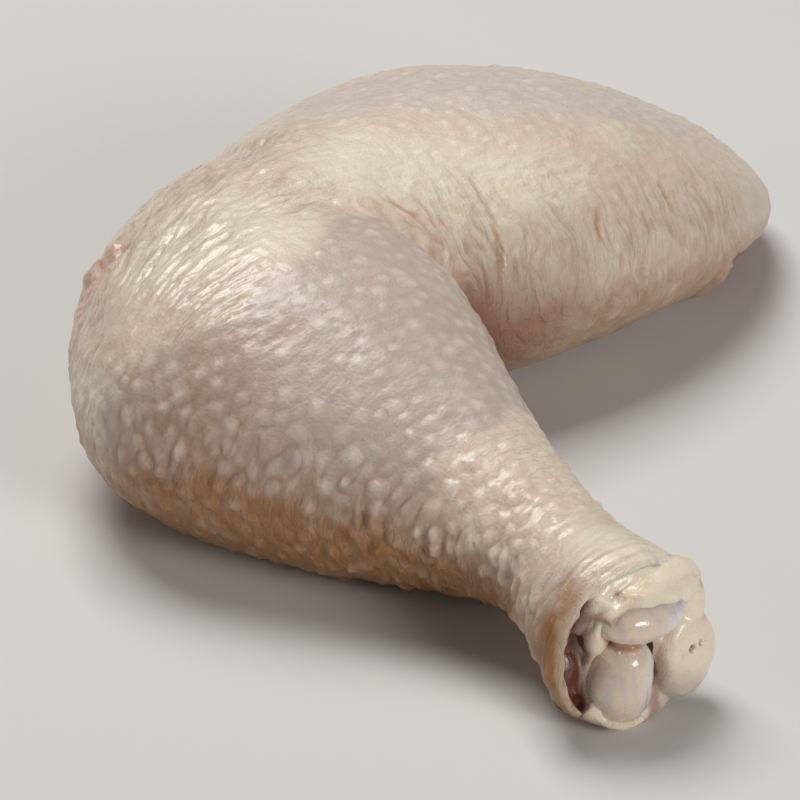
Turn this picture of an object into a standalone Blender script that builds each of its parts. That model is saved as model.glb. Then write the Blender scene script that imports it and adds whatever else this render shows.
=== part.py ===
"""Raw chicken leg quarter, lying skin side up: drumstick and thigh in one skin, folded at the knee.

Metres, +Z up, on a level surface at z = 0. The knuckle lies at the front right (-Y is the front), the knee
at the left, and the cut hip end at the back right. The origin is under the middle of the whole. Four pieces
make it:
  leg            drumstick and thigh, flesh and skin as one solid, with a cuff of skin at the ankle
  thigh_meat     the bare cut flesh under the skin's flap at the hip end
  ankle_tissue   fat and tendon inside the cuff, round the joint
  shank_joint    the shin bone's end with its two cartilage-capped condyles
"""

import math

import bmesh
import bpy
from mathutils import Matrix, Vector

UP = Vector((0, 0, 1))

# Each limb is a row of oval sections from end to end: the centre's place, half width and half height.
DRUMSTICK = [
    (Vector((0.0350, -0.0907, 0.0138)), 0.0147, 0.0147),
    (Vector((0.0313, -0.0854, 0.0142)), 0.0171, 0.0171),
    (Vector((0.0257, -0.0747, 0.0160)), 0.0129, 0.0133),
    (Vector((0.0194, -0.0636, 0.0169)), 0.0114, 0.0111),
    (Vector((0.0110, -0.0530, 0.0182)), 0.0149, 0.0142),
    (Vector((-0.0001, -0.0423, 0.0197)), 0.0222, 0.0200),
    (Vector((-0.0121, -0.0294, 0.0222)), 0.0316, 0.0262),
    (Vector((-0.0232, -0.0170, 0.0236)), 0.0387, 0.0289),
    (Vector((-0.0339, -0.0059, 0.0227)), 0.0373, 0.0276),
    (Vector((-0.0441, 0.0039, 0.0196)), 0.0276, 0.0222),
]
KNEE = [
    (Vector((-0.0281, -0.0307, 0.0213)), 0.0236, 0.0222),
    (Vector((-0.0334, -0.0139, 0.0231)), 0.0324, 0.0271),
    (Vector((-0.0286, 0.0030, 0.0236)), 0.0329, 0.0280),
    (Vector((-0.0166, 0.0190, 0.0236)), 0.0307, 0.0276),
    (Vector((-0.0032, 0.0350, 0.0236)), 0.0307, 0.0267),
    (Vector((0.0110, 0.0475, 0.0213)), 0.0258, 0.0222),
]
THIGH = [
    (Vector((-0.0441, -0.0059, 0.0178)), 0.0133, 0.0160),
    (Vector((-0.0334, 0.0084, 0.0213)), 0.0240, 0.0231),
    (Vector((-0.0183, 0.0230, 0.0231)), 0.0320, 0.0267),
    (Vector((0.0013, 0.0386, 0.0236)), 0.0380, 0.0268),
    (Vector((0.0226, 0.0548, 0.0204)), 0.0358, 0.0234),
    (Vector((0.0406, 0.0694, 0.0148)), 0.0283, 0.0172),
    (Vector((0.0492, 0.0780, 0.0098)), 0.0182, 0.0111),
    (Vector((0.0554, 0.0870, 0.0060)), 0.0082, 0.0056),
]
RING_CORNERS = 12

# The skin softens every join a little, and runs over the outer side of the knee without a fold. Seen from
# above, it is soft within one distance of a line along the knee, and firm again past another.
VOXEL = 0.0014
SOFTEN_ALL = 30
SOFTEN_KNEE = 110
KNEE_LINE = (Vector((-0.0477, -0.0147)), Vector((0.0003, 0.0386)))
KNEE_SOFT = 0.0124
KNEE_FIRM = 0.0240
SKIN_FACES = 7400

# The ankle's end: its middle, the way it faces, and the skin's cuff round the joint.
ANKLE = Vector((0.0329, -0.0859, 0.0138))
ANKLE_OUT = Vector((0.702, -0.712, 0))
CUFF_RADIUS = 0.0122
CUFF_DEPTH = 0.0080

# Forms in the cuff: the middle, measured from the ankle's outwards, to the right and up, and the three radii.
LOWER_CONDYLE = (Vector((-0.0013, -0.0040, -0.0055)), (0.0070, 0.0065, 0.0064))
UPPER_CONDYLE = (Vector((-0.0009, 0.0002, 0.0052)), (0.0059, 0.0081, 0.0042))
WAIST = (Vector((-0.0030, -0.0020, -0.0005)), (0.0049, 0.0050, 0.0053))
CHEEK = (Vector((0.0000, 0.0084, -0.0044)), (0.0044, 0.0064, 0.0078))
HOOD = (Vector((0.0000, 0.0040, 0.0088)), (0.0036, 0.0084, 0.0042))
GAP_BESIDE_JOINT = (Vector((0.0000, -0.0111, 0.0018)), (0.0071, 0.0023, 0.0058))
BONE_START = Vector((-0.0055, -0.0020, -0.0005))
BONE_RADIUS = 0.0041
BONE_LENGTH = 0.0036
KNOB_SIDES = 20
ROD_SIDES = 32

# The cut flesh at the hip end lies under a sloping flap of skin.
HIP = Vector((0.0306, 0.0670, 0.0133))
HIP_ALONG = Vector((0.71, 0.704, 0))
FLAP_SLOPE = math.radians(12.5)
FLESH_INSET = 0.0013

# Neighbouring pieces keep a hair's gap, and a cutting block reaches past the whole leg.
FIT_GAP = 0.0003
CUT_REACH = 0.150

# Each finish is a colour and a roughness.
SKIN = ((0.72, 0.52, 0.43), 0.42)
MEAT = ((0.62, 0.27, 0.24), 0.38)
FAT = ((0.76, 0.64, 0.44), 0.40)
CARTILAGE = ((0.62, 0.60, 0.64), 0.22)


def start_clean():
    for old in list(bpy.data.objects):
        bpy.data.objects.remove(old)


def new_collection(name):
    made = bpy.data.collections.new(name)
    bpy.context.scene.collection.children.link(made)
    return made


def add_object(name, cage):
    mesh = bpy.data.meshes.new(name)
    cage.to_mesh(mesh)
    cage.free()
    made = bpy.data.objects.new(name, mesh)
    bench.objects.link(made)
    return made


def modelled(made):
    """Applies an object's modifiers, by taking the mesh as the viewport evaluates it."""
    evaluated = made.evaluated_get(bpy.context.evaluated_depsgraph_get())
    mesh = bpy.data.meshes.new_from_object(evaluated)
    made.modifiers.clear()
    made.data = mesh
    return made


def combine(made, others, operation):
    """Joins, cuts or trims an object with all the others, which are then removed."""
    tools = new_collection("tools")
    for other in others:
        bench.objects.unlink(other)
        tools.objects.link(other)
    change = made.modifiers.new(operation.lower(), "BOOLEAN")
    change.operation = operation
    change.operand_type = "COLLECTION"
    change.collection = tools
    modelled(made)
    for other in others:
        bpy.data.objects.remove(other)
    bpy.data.collections.remove(tools)
    return made


def limb(name, stations):
    """A soft limb: oval rings standing square to its line, bridged, capped and rounded by subdivision."""
    cage = bmesh.new()
    rings = []
    for index, (place, half_width, half_height) in enumerate(stations):
        before = stations[max(index - 1, 0)][0]
        after = stations[min(index + 1, len(stations) - 1)][0]
        along = (after - before) * Vector((1, 1, 0))
        along.normalize()
        across = along.cross(UP)
        turn = Matrix((across, UP, along)).transposed().to_4x4()
        size = Matrix.Diagonal((half_width, half_height, 1, 1))
        ring = bmesh.ops.create_circle(
            cage, segments=RING_CORNERS, radius=1, matrix=Matrix.Translation(place) @ turn @ size
        )
        rings.append(ring["verts"])
    for first, second in zip(rings, rings[1:]):
        for corner in range(RING_CORNERS):
            beside = (corner + 1) % RING_CORNERS
            cage.faces.new((first[corner], first[beside], second[beside], second[corner]))
    for end in (rings[0], rings[-1]):
        cage.faces.new(end)
    bmesh.ops.recalc_face_normals(cage, faces=cage.faces)
    made = add_object(name, cage)
    rounding = made.modifiers.new("rounding", "SUBSURF")
    rounding.levels = rounding.render_levels = 2
    return modelled(made)


def block(name, corner, turn, reach):
    """A cutting block that reaches from its corner point along +X, both ways along Y, and down along -Z."""
    cage = bmesh.new()
    bmesh.ops.create_cube(cage, size=1)
    bmesh.ops.scale(cage, vec=(reach, 2 * reach, reach), verts=cage.verts)
    bmesh.ops.translate(cage, vec=(reach / 2, 0, -reach / 2), verts=cage.verts)
    bmesh.ops.transform(cage, matrix=Matrix.Translation(corner) @ turn.to_4x4(), verts=cage.verts)
    return add_object(name, cage)


def knob(name, place, turn, radii, grow=0.0):
    """A rounded knob: a sphere stretched to three radii and turned, and fatter all round by grow."""
    cage = bmesh.new()
    bmesh.ops.create_uvsphere(cage, u_segments=KNOB_SIDES, v_segments=KNOB_SIDES // 2, radius=1)
    fat = [radius + grow for radius in radii]
    shape = Matrix.Translation(place) @ turn.to_4x4() @ Matrix.Diagonal((*fat, 1))
    bmesh.ops.transform(cage, matrix=shape, verts=cage.verts)
    return add_object(name, cage)


def rod(name, start, turn, radius, length, grow=0.0):
    """A round rod from its start along the turned +X, with flat ends, and fatter all round by grow."""
    cage = bmesh.new()
    thick = radius + grow
    bmesh.ops.create_cone(
        cage, cap_ends=True, segments=ROD_SIDES, radius1=thick, radius2=thick, depth=length + 2 * grow
    )
    lie = Matrix.Translation((length / 2, 0, 0)) @ Matrix.Rotation(math.radians(90), 4, "Y")
    bmesh.ops.transform(cage, matrix=Matrix.Translation(start) @ turn.to_4x4() @ lie, verts=cage.verts)
    return add_object(name, cage)


def soften(made, rounds, group=""):
    melt = made.modifiers.new("melt", "SMOOTH")
    melt.factor = 0.5
    melt.iterations = rounds
    melt.vertex_group = group


def mark_knee(made):
    """Weighs the points by how near they lie, seen from above, to the line that the knee's skin follows."""
    start, end = KNEE_LINE
    along = end - start
    group = made.vertex_groups.new(name="knee")
    for point in made.data.vertices:
        place = point.co.to_2d()
        share = min(max((place - start).dot(along) / along.length_squared, 0), 1)
        gap = (place - start - along * share).length
        weight = min(max((KNEE_FIRM - gap) / (KNEE_FIRM - KNEE_SOFT), 0), 1)
        group.add([point.index], weight, "REPLACE")


def paint(made, finish):
    colour, roughness = finish
    material = bpy.data.materials.new(made.name)
    material.use_nodes = True
    shader = material.node_tree.nodes["Principled BSDF"]
    shader.inputs["Base Color"].default_value = (*colour, 1)
    shader.inputs["Roughness"].default_value = roughness
    shader.inputs["Metallic"].default_value = 0
    made.data.materials.clear()
    made.data.materials.append(material)
    made.data.shade_smooth()


def above_ground(made):
    """Lays the piece flat on the surface that it rests on."""
    ground = block("ground", Vector((-CUT_REACH, 0, 0)), Matrix.Identity(3), 2 * CUT_REACH)
    return combine(made, [ground], "DIFFERENCE")


start_clean()
parts = new_collection("raw_chicken_leg_quarter")
bench = new_collection("bench")
bench.hide_render = True

# Drumstick, knee and thigh as one body of flesh in its skin
leg = limb("leg", DRUMSTICK)
combine(leg, [limb("knee", KNEE), limb("thigh", THIGH)], "UNION")
even = leg.modifiers.new("even", "REMESH")
even.mode = "VOXEL"
even.voxel_size = VOXEL
modelled(leg)
mark_knee(leg)
soften(leg, SOFTEN_ALL)
soften(leg, SOFTEN_KNEE, "knee")
modelled(leg)
thin = leg.modifiers.new("thin", "DECIMATE")
thin.ratio = SKIN_FACES / (2 * len(leg.data.polygons))
modelled(leg)

# The cut flesh at the hip end, set in a little from the skin, and the room that it takes
across = UP.cross(HIP_ALONG).normalized()
slope_along = HIP_ALONG.normalized() * math.cos(FLAP_SLOPE) - UP * math.sin(FLAP_SLOPE)
slope_up = slope_along.cross(across)
hip_turn = Matrix((slope_along, across, slope_up)).transposed()
meat = bpy.data.objects.new("thigh_meat", leg.data.copy())
bench.objects.link(meat)
inset = meat.modifiers.new("inset", "DISPLACE")
inset.strength = -FLESH_INSET
inset.mid_level = 0
modelled(meat)
inner_corner = HIP + (slope_along - slope_up) * FIT_GAP
combine(meat, [block("flesh_zone", inner_corner, hip_turn, CUT_REACH)], "INTERSECT")
combine(leg, [block("flap_underside", HIP, hip_turn, CUT_REACH)], "DIFFERENCE")

# The ankle's end, cut across and hollowed into a cuff
outward = ANKLE_OUT.normalized()
aside = UP.cross(outward)
ankle_turn = Matrix((outward, aside, UP)).transposed()


def at_ankle(offset):
    return ANKLE + ankle_turn @ offset


def ankle_knob(name, sizes, grow=0.0):
    offset, radii = sizes
    return knob(name, at_ankle(offset), ankle_turn, radii, grow)


def joint_forms(grow=0.0):
    """The bone's end, the condyles and the waist between them, larger all round by grow."""
    forms = [ankle_knob("form", sizes, grow) for sizes in (LOWER_CONDYLE, UPPER_CONDYLE, WAIST)]
    return [rod("bone", at_ankle(BONE_START), ankle_turn, BONE_RADIUS, BONE_LENGTH, grow)] + forms


def beyond_ankle(name, gap=0.0):
    """Everything further out than the ankle's end."""
    return block(name, at_ankle(Vector((gap, 0, CUT_REACH / 2))), ankle_turn, CUT_REACH)


cuff_start = at_ankle(Vector((-CUFF_DEPTH, 0, 0)))
cuff = rod("cuff", cuff_start, ankle_turn, CUFF_RADIUS, 2 * CUFF_DEPTH)
combine(leg, [beyond_ankle("end"), cuff] + joint_forms(FIT_GAP), "DIFFERENCE")

# The two cartilage-capped condyles, on the end of the bone
joint, *condyles = joint_forms()
combine(joint, condyles, "UNION")

# Fat and tendon: a plug round the joint, with a cheek to the right of it and a hood over it
plug_radius = CUFF_RADIUS - FIT_GAP
plug_start = at_ankle(Vector((FIT_GAP - CUFF_DEPTH, 0, 0)))
room = beyond_ankle("room", FIT_GAP)
combine(room, [rod("inside", cuff_start, ankle_turn, plug_radius - FIT_GAP, 2 * CUFF_DEPTH)], "UNION")
bulges = ankle_knob("cheek", CHEEK)
combine(bulges, [ankle_knob("hood", HOOD)], "UNION")
combine(bulges, [room], "INTERSECT")
tissue = rod("ankle_tissue", plug_start, ankle_turn, plug_radius, CUFF_DEPTH + FIT_GAP)
combine(tissue, [bulges], "UNION")
combine(tissue, joint_forms(FIT_GAP) + [ankle_knob("gap", GAP_BESIDE_JOINT)], "DIFFERENCE")

# Every piece lies on the ground, has its own finish, and is placed from under the middle of the whole
above_ground(leg)
above_ground(meat)
pieces = (leg, meat, tissue, joint)
places = [point.co for made in pieces for point in made.data.vertices]
lowest = Vector([min(place[axis] for place in places) for axis in range(3)])
highest = Vector([max(place[axis] for place in places) for axis in range(3)])
middle = (lowest + highest) / 2
names = ("leg", "thigh_meat", "ankle_tissue", "shank_joint")
finishes = (SKIN, MEAT, FAT, CARTILAGE)
for made, name, finish in zip(pieces, names, finishes):
    made.data.transform(Matrix.Translation((-middle.x, -middle.y, 0)))
    made.name = name
    bench.objects.unlink(made)
    parts.objects.link(made)
    paint(made, finish)
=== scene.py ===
"""The looks of a raw chicken leg quarter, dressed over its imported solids."""

import itertools
import math

import bpy
import numpy as np
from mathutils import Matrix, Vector, kdtree


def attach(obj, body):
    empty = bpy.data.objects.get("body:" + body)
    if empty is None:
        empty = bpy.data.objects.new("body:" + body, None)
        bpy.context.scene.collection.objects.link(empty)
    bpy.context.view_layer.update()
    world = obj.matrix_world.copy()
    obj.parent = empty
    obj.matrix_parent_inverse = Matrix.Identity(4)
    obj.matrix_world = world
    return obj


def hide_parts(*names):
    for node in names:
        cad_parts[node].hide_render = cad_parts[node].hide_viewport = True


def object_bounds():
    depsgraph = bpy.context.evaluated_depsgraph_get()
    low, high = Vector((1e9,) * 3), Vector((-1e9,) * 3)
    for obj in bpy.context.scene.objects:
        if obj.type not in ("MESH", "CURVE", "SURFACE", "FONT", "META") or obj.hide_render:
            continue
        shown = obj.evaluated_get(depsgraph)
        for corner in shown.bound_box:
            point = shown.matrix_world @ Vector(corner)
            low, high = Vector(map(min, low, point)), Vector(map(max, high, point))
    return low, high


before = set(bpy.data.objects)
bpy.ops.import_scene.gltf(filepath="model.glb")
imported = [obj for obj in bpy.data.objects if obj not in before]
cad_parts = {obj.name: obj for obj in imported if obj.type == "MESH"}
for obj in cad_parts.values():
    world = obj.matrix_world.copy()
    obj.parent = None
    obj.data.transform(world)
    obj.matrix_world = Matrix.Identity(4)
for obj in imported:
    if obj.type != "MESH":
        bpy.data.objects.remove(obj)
solid_low, solid_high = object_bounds()


# Camera and studio. The camera looks down at the leg from the front with a long lens, as over a table.
# The leg lies on a plain pale floor, under a large soft lamp above it and behind, with a second lamp at the
# front right and a faint one on the left.
EYE_HEIGHT = math.radians(29.7)
EYE_DISTANCE = 0.992
AIM = Vector((-0.0058, -0.0155, 0.0200))
LENS = 269.2
SENSOR = 36.0
FLOOR_SIZE = 4.0
FLOOR_TONE = (0.66, 0.645, 0.62)
FLOOR_ROUGHNESS = 0.75
FLOOR_SHINE = 0.2
LAMP_TONE = (1.0, 0.99, 0.98)
FILL_TONE = (1.0, 0.94, 0.86)
SKY_TONE = (1.0, 0.985, 0.96)
SKY_STRENGTH = 0.08

towards_eye = Vector((0, -math.cos(EYE_HEIGHT), math.sin(EYE_HEIGHT)))
bpy.ops.object.camera_add(location=AIM + towards_eye * EYE_DISTANCE)
camera = bpy.context.object
camera.name = "camera"
camera.rotation_mode = "QUATERNION"
camera.rotation_quaternion = (-towards_eye).to_track_quat("-Z", "Y")
camera.data.lens = LENS
camera.data.sensor_width = SENSOR
camera.data.clip_start = EYE_DISTANCE * 0.1
bpy.context.scene.camera = camera

bpy.ops.mesh.primitive_plane_add(size=FLOOR_SIZE, location=(0, 0, 0))
floor = bpy.context.object
floor.name = "floor"
floor_paint = bpy.data.materials.new("floor_paint")
floor_paint.use_nodes = True
matt = floor_paint.node_tree.nodes["Principled BSDF"]
matt.inputs["Base Color"].default_value = (*FLOOR_TONE, 1)
matt.inputs["Roughness"].default_value = FLOOR_ROUGHNESS
matt.inputs["Specular IOR Level"].default_value = FLOOR_SHINE
floor.data.materials.append(floor_paint)


def lamp(name, place, size, power, tone):
    """A square soft lamp that faces the leg."""
    bpy.ops.object.light_add(type="AREA", location=place)
    made = bpy.context.object
    made.name = name
    made.data.size = size
    made.data.energy = power
    made.data.color = tone
    made.rotation_mode = "QUATERNION"
    made.rotation_quaternion = (AIM - Vector(place)).to_track_quat("-Z", "Y")


lamp("key", place=(-0.24, 0.38, 1.02), size=0.62, power=10.2, tone=LAMP_TONE)
lamp("side", place=(0.72, -0.92, 0.52), size=0.45, power=7.4, tone=LAMP_TONE)
lamp("fill", place=(-0.95, -0.45, 0.50), size=0.45, power=1.1, tone=FILL_TONE)
sky = bpy.data.worlds.new("sky")
bpy.context.scene.world = sky
sky.use_nodes = True
background = sky.node_tree.nodes["Background"]
background.inputs["Color"].default_value = (*SKY_TONE, 1)
background.inputs["Strength"].default_value = SKY_STRENGTH
bpy.context.scene.view_settings.view_transform = "Standard"


# Skin. One loose, wet, fatty skin wraps drumstick and thigh and hangs over the ankle as a cuff. It is
# meshed finely over the leg's solid, then raised in goose bumps, creases and folds, point by point.
SKIN_GRAIN = 0.00040
SKIN_MELT = 56
SKIN_TRIANGLES = 197000
LUMP_CELLS = 64
LUMP_GAIN = 1.6


def take_up(made):
    """Makes this the one selected and active object."""
    bpy.ops.object.select_all(action="DESELECT")
    made.select_set(True)
    bpy.context.view_layer.objects.active = made


def apply_all(made):
    """Applies every modifier of a piece, in order."""
    take_up(made)
    for change in list(made.modifiers):
        bpy.ops.object.modifier_apply(modifier=change.name)


def merged_copy(node, name):
    """A copy of a solid with its loose triangles merged into one closed mesh."""
    made = bpy.data.objects.new(name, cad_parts[node].data.copy())
    bpy.context.scene.collection.objects.link(made)
    take_up(made)
    bpy.ops.object.mode_set(mode="EDIT")
    bpy.ops.mesh.select_all(action="SELECT")
    bpy.ops.mesh.remove_doubles(threshold=1e-6)
    bpy.ops.object.mode_set(mode="OBJECT")
    return made


def even_out(made, grain):
    """Meshes a piece again as one skin of even squares."""
    even = made.modifiers.new("even", "REMESH")
    even.mode = "VOXEL"
    even.voxel_size = grain
    apply_all(made)


def even_copy(node, name, grain):
    """A copy of a solid, meshed again finely."""
    made = merged_copy(node, name)
    even_out(made, grain)
    return made


def melt(made, rounds):
    """Softens the edges of a piece."""
    soft = made.modifiers.new("soft", "SMOOTH")
    soft.factor = 0.5
    soft.iterations = rounds
    apply_all(made)


def thin_out(made, triangles):
    """Brings a piece down to a number of triangles, and keeps the most where its shape turns most."""
    fewer = made.modifiers.new("fewer", "DECIMATE")
    fewer.ratio = min(1, triangles / (2 * len(made.data.polygons)))
    apply_all(made)


def finish_piece(made, material, node):
    """Gives a piece its material and puts it in place of its solid."""
    made.data.materials.clear()
    made.data.materials.append(material)
    made.data.shade_smooth()
    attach(made, "root")
    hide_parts(node)


def spots_of(made):
    """The places of a piece's points, one row for each."""
    spots = np.empty(len(made.data.vertices) * 3)
    made.data.vertices.foreach_get("co", spots)
    return spots.reshape(-1, 3)


def normals_of(made):
    """The way that each point of a piece faces."""
    normals = np.empty(len(made.data.vertices) * 3)
    made.data.vertex_normals.foreach_get("vector", normals)
    return normals.reshape(-1, 3)


def move_to(made, spots):
    """Moves the points of a piece to new places."""
    made.data.vertices.foreach_set("co", spots.ravel())
    made.data.update()


def note(made, name, values):
    """Keeps a value for each point, which the material reads by name."""
    made.data.attributes.new(name, "FLOAT", "POINT").data.foreach_set("value", values.astype(np.float32))


def note_place(made, name, places):
    """Keeps a place for each point, for a pattern that follows the surface."""
    kept = made.data.attributes.new(name, "FLOAT_VECTOR", "POINT")
    kept.data.foreach_set("vector", places.astype(np.float32).ravel())


def smooth_step(values, low, high):
    """Eases from 0 at the low value to 1 at the high one, which may also be the smaller of the two."""
    share = np.clip((values - low) / (high - low), 0, 1)
    return share * share * (3 - 2 * share)


def lumps(places, seed):
    """Smooth random hills and hollows about one unit apart, from -1 to 1, the same on every run."""
    slopes = np.random.default_rng(seed).normal(size=(LUMP_CELLS, LUMP_CELLS, LUMP_CELLS, 3))
    slopes /= np.linalg.norm(slopes, axis=3, keepdims=True)
    base = np.floor(places).astype(int)
    part = places - base
    ease = part * part * part * (part * (part * 6 - 15) + 10)
    total = np.zeros(len(places))
    for corner in itertools.product((0, 1), repeat=3):
        share = np.prod(np.where(corner, ease, 1 - ease), axis=1)
        cell = (base + corner) % LUMP_CELLS
        total += share * np.sum(slopes[cell[:, 0], cell[:, 1], cell[:, 2]] * (part - corner), axis=1)
    return np.clip(total * LUMP_GAIN, -1, 1)


def streaks(across, along, deep, spacing, length, seed):
    """Uneven ridges side by side, as far apart as the spacing and as long as the length, from -1 to 1."""
    return lumps(np.column_stack((across / spacing, along / length, deep / length + 0.37)), seed)


def patch(spots, centres, reach):
    """A soft-edged patch: 1 near any of the centres, which are points and their own sizes, down to 0."""
    total = np.zeros(len(spots))
    for x, y, z, size in centres:
        far = np.linalg.norm(spots - (x, y, z), axis=1) / size
        total = np.maximum(total, 1 - smooth_step(far, 1 - reach, 1 + reach))
    return total


def cloud(spots, centres):
    """A field that is near 1 round the centres, each a point and its own size, and falls off smoothly."""
    total = np.zeros(len(spots))
    for x, y, z, size in centres:
        total += np.exp(-np.sum((spots - (x, y, z)) ** 2, axis=1) / size**2)
    return total


def limb_frame(spots, start, end):
    """Where each point is on a limb: how far along it, and how far aside and up from its middle line."""
    along = (end - start) / np.linalg.norm(end - start)
    aside = np.cross((0, 0, 1), along)
    aside /= np.linalg.norm(aside)
    offset = spots - start
    return offset @ along, offset @ aside, offset @ np.cross(along, aside)


def near_line(spots, points):
    """The distance of each spot from a bent line through the points, and its share of the way along it."""
    nearest = np.full(len(spots), np.inf)
    way = np.zeros(len(spots))
    for order, (first, second) in enumerate(zip(points, points[1:])):
        first = np.array(first)
        run = np.array(second) - first
        share = np.clip((spots - first) @ run / (run @ run), 0, 1)
        far = np.linalg.norm(spots - first - share[:, None] * run, axis=1)
        way = np.where(far < nearest, (order + share) / (len(points) - 1), way)
        nearest = np.minimum(nearest, far)
    return nearest, way


def crease(spots, points, width):
    """How deep each spot lies in a crease along a bent line, from 1 on the line to 0 past the width."""
    far, way = near_line(spots, points)
    ends = smooth_step(way, 0.0, 0.25) * smooth_step(way, 1.0, 0.75)
    return (1 - smooth_step(far, 0, width)) * ends


def folded(waves, sharpness=0.7):
    """Turns smooth waves into rounded swellings with narrow grooves between them, from -1 to 1."""
    return 2 * np.abs(waves) ** sharpness - 1


def scatter(spots, spacing, seed):
    """Picks points of the mesh at random until every point has a picked one nearer than the spacing."""
    tree = kdtree.KDTree(len(spots))
    for index, spot in enumerate(spots):
        tree.insert(spot, index)
    tree.balance()
    free = np.ones(len(spots), bool)
    picked = []
    for index in np.random.default_rng(seed).permutation(len(spots)):
        if free[index]:
            picked.append(index)
            free[[found[1] for found in tree.find_range(spots[index], spacing)]] = False
    return np.array(picked)


skin = even_copy("leg", "skin", SKIN_GRAIN)
melt(skin, SKIN_MELT)
spots = spots_of(skin)
normals = normals_of(skin)

# The cuff's edge is drawn back and worn thin on its left, where the joint stands free of it
ANKLE = np.array((0.0321, -0.0831, 0.0138))
ANKLE_OUT = np.array((0.702, -0.712, 0.0))
ANKLE_RIGHT = np.array((0.712, 0.702, 0.0))
CUFF_DEPTH = 0.0080
CUFF_DRAWN_BACK = 0.0040
CUFF_EDGE = 0.0141
CUFF_FREE_TURN = -1.35
# The angle round the ankle where the painted shade on the cuff's outer side is strongest
CUFF_SHADE_TURN = -1.9


def from_ankle(spots):
    """How far each spot lies out from the ankle's cut end, and to the right of its middle and above it."""
    return (spots - ANKLE) @ ANKLE_OUT, (spots - ANKLE) @ ANKLE_RIGHT, spots[:, 2] - ANKLE[2]


def free_share(turn):
    """How far the cuff is drawn back at an angle round it: 1 on its free left side, 0 on its right."""
    return np.maximum(0, np.cos(turn - CUFF_FREE_TURN)) ** 0.8


out_of_cuff, right_of_cuff, above_cuff = from_ankle(spots)
cuff_angle = np.arctan2(right_of_cuff, above_cuff)
cuff_radius = np.hypot(right_of_cuff, above_cuff)
left_share = free_share(cuff_angle)
ragged = 0.14 * lumps(spots / 0.0045, 9) + 0.08 * lumps(spots / 0.0019, 10)
drawn = (left_share + ragged) * smooth_step(out_of_cuff, -1.5 * CUFF_DEPTH, 0) * CUFF_DRAWN_BACK

# The hollow inside the cuff, and the lip round its mouth
in_cuff = smooth_step(out_of_cuff, -0.0086, -0.0070) * smooth_step(cuff_radius, 0.0136, 0.0128)
lip = smooth_step(out_of_cuff, -0.0022, -0.0004) * smooth_step(cuff_radius, 0.0125, 0.0136)
thinned = np.maximum(CUFF_EDGE - cuff_radius, 0) * (1 - 0.5 * left_share)
worn = in_cuff * smooth_step(out_of_cuff, -0.0060, 0) * thinned
across_cuff = (np.outer(right_of_cuff, ANKLE_RIGHT) + np.outer(above_cuff, (0, 0, 1))) / cuff_radius[:, None]
spots = spots - drawn[:, None] * ANKLE_OUT + worn[:, None] * across_cuff

# At the hip end the skin's cut edge hangs unevenly over the flesh below it and beside it
HIP_CUT = np.array((0.0314, 0.0642, 0.0133))
CUT_ALONG = np.array((0.693, 0.687, -0.216))
CUT_UP = np.array((0.154, 0.152, 0.976))
CUT_OVERHANG = 0.0012


def from_cut(spots):
    """How far each spot lies past the cut at the hip end, and how far above the cut skin's edge."""
    return (spots - HIP_CUT) @ CUT_ALONG, (spots - HIP_CUT) @ CUT_UP


past_cut, over_cut = from_cut(spots)
uneven = 0.6 + 0.4 * lumps(spots / 0.0035, 13)
hanging = smooth_step(past_cut, -0.0008, 0.0008) * smooth_step(over_cut, 0.0020, 0.0)
reaching = smooth_step(over_cut, 0.0008, -0.0008) * smooth_step(past_cut, -0.0024, 0.0)
spots = spots - (CUT_OVERHANG * hanging * uneven)[:, None] * CUT_UP
spots = spots + (1.6 * CUT_OVERHANG * reaching * uneven)[:, None] * CUT_ALONG

# Where each point lies on the drumstick and on the thigh, and slow drifts that keep every pattern uneven
KNEE = np.array((-0.0347, -0.0031, 0.0220))
THIGH_START = np.array((-0.0342, 0.0112, 0.0220))
HIP = np.array((0.0546, 0.0898, 0.0080))
DRIFT_SIZE = 0.009
RIPPLE_SIZE = 0.0035
down, drum_aside, drum_up = limb_frame(spots, ANKLE, KNEE)
up_thigh, thigh_aside, thigh_rise = limb_frame(spots, THIGH_START, HIP)
round_drum = np.arctan2(drum_aside, drum_up)
round_thigh = np.arctan2(thigh_aside, thigh_rise)
out_drum = np.hypot(drum_aside, drum_up)
drifts = lumps(spots / DRIFT_SIZE, 11)
ripple = lumps(spots / RIPPLE_SIZE, 12)
warp = 0.0014 * drifts + 0.0005 * ripple

# Where the skin lies over muscle, over fat, and where it wrinkles, and a painted shade low on the muscle's
# left
muscle = cloud(spots, [
    (-0.0185, -0.0290, 0.0450, 0.0100), (-0.0110, -0.0110, 0.0465, 0.0085),
    (0.0000, -0.0260, 0.0370, 0.0130), (-0.0210, -0.0430, 0.0350, 0.0130),
    (-0.0370, -0.0400, 0.0300, 0.0130), (-0.0080, -0.0500, 0.0270, 0.0110),
    (-0.0050, -0.0050, 0.0430, 0.0070), (-0.0455, -0.0365, 0.0240, 0.0098),
    (0.0060, -0.0160, 0.0320, 0.0090), (0.0070, -0.0290, 0.0320, 0.0090), (0.0050, -0.0430, 0.0340, 0.0054),
])
muscle = smooth_step(muscle + 0.10 * drifts + 0.06 * ripple, 0.30, 0.62)
thigh_muscle = cloud(spots, [
    (0.0020, 0.0480, 0.0460, 0.0150), (0.0200, 0.0540, 0.0400, 0.0140), (0.0360, 0.0640, 0.0300, 0.0120),
    (-0.0180, 0.0400, 0.0430, 0.0110),
])
thigh_muscle = smooth_step(thigh_muscle + 0.20 * drifts, 0.25, 0.85)
fat = cloud(spots, [
    (-0.0290, -0.0080, 0.0494, 0.0120), (-0.0130, 0.0150, 0.0489, 0.0120),
    (-0.0420, -0.0107, 0.0440, 0.0120), (0.0060, 0.0180, 0.0430, 0.0110), (0.0200, 0.0280, 0.0370, 0.0088),
    (0.0310, 0.0440, 0.0370, 0.0060), (0.0300, -0.0760, 0.0280, 0.0100), (-0.0560, -0.0310, 0.0270, 0.0085),
])
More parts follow.
